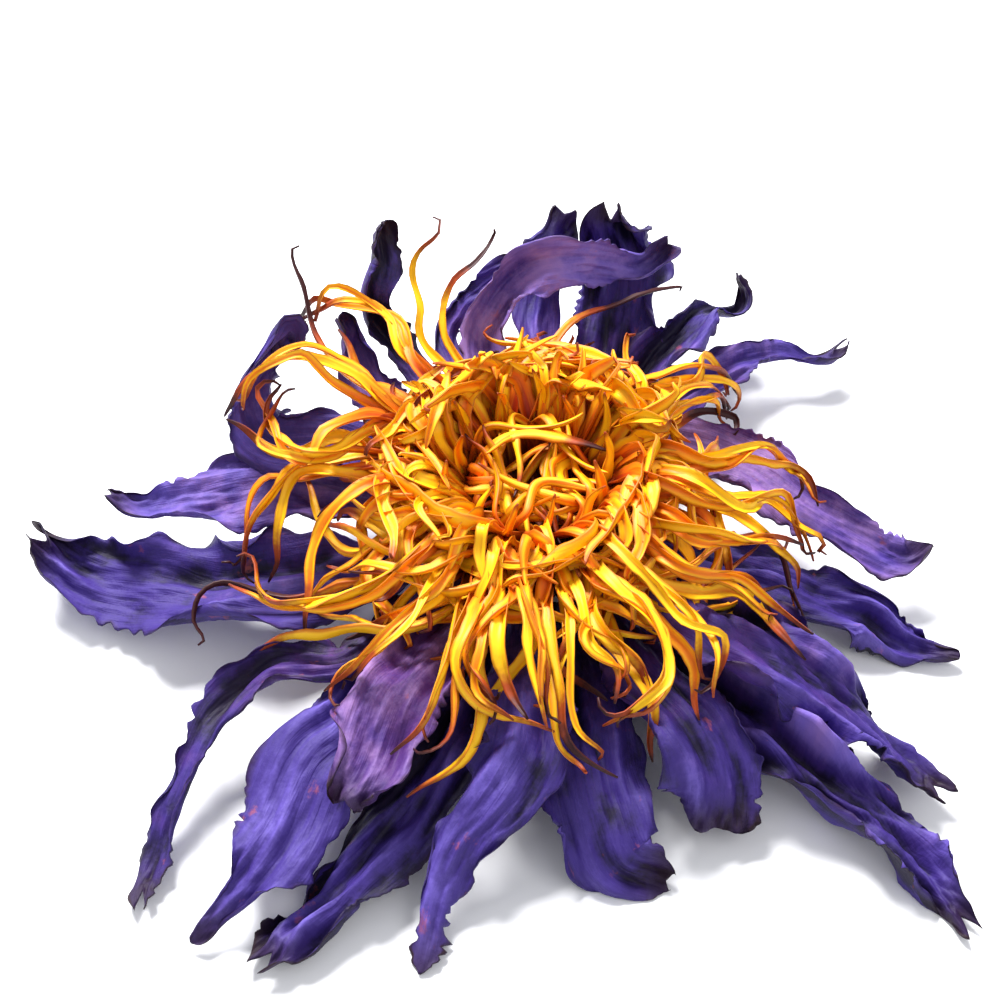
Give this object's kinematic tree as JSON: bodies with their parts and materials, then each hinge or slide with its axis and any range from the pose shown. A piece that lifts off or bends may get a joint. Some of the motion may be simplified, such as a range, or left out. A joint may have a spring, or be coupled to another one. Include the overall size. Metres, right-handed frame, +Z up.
{
  "type": "dried blue water lily flower",
  "caption": "Dried blue water lily flower head lying face up: crumpled violet petals spread round a wreath of curling yellow stamens.",
  "frame": {"origin": "on the table top, under the middle of the flower's outline", "axes": "+Z up out of the flower's face; +X to the right and +Y away, seen from the side where the longest petals point right and towards the viewer"},
  "size_m": [0.097, 0.0846, 0.0248],
  "materials": {
    "petal": "matte",
    "sepal": "matte",
    "stamen": "matte",
    "receptacle": "matte",
    "stigma": "matte"
  },
  "bodies": {
    "root": {"receptacle": "receptacle", "stigma_disc": "stigma", "sepal_left": "sepal", "petal_left_spread": "petal", "petal_left_arched": "petal", "petal_left_upright": "petal", "petal_back_tall": "petal", "petal_back_narrow": "petal", "petal_back_arched": "petal", "petal_back_round": "petal", "sepal_back": "sepal", "petal_right_curled": "petal", "petal_right_wavy": "petal", "petal_right_smooth": "petal", "sepal_right": "sepal", "petal_right_draped": "petal", "petal_right_longest": "petal", "petal_front_round": "petal", "sepal_front": "sepal", "petal_front_pointed": "petal", "petal_front_dark": "petal", "petal_left_broad": "petal", "petal_left_hooked": "petal", "petal_front_inner": "petal", "stamen_outer_01": "stamen", "stamen_outer_02": "stamen", "stamen_outer_03": "stamen", "stamen_outer_04": "stamen", "stamen_outer_05": "stamen", "stamen_outer_06": "stamen", "stamen_outer_07": "stamen", "stamen_outer_08": "stamen", "stamen_outer_09": "stamen", "stamen_outer_10": "stamen", "stamen_outer_11": "stamen", "stamen_outer_12": "stamen", "stamen_outer_13": "stamen", "stamen_outer_14": "stamen", "stamen_outer_15": "stamen", "stamen_outer_16": "stamen", "stamen_outer_17": "stamen", "stamen_outer_18": "stamen", "stamen_outer_19": "stamen", "stamen_outer_20": "stamen", "stamen_outer_21": "stamen", "stamen_outer_22": "stamen", "stamen_outer_23": "stamen", "stamen_inner_01": "stamen", "stamen_inner_02": "stamen", "stamen_inner_03": "stamen", "stamen_inner_04": "stamen", "stamen_inner_05": "stamen", "stamen_inner_06": "stamen", "stamen_inner_07": "stamen", "stamen_inner_08": "stamen", "stamen_inner_09": "stamen", "stamen_inner_10": "stamen", "stamen_inner_11": "stamen", "stamen_inner_12": "stamen", "stamen_inner_13": "stamen"}
  },
  "joints": []
}
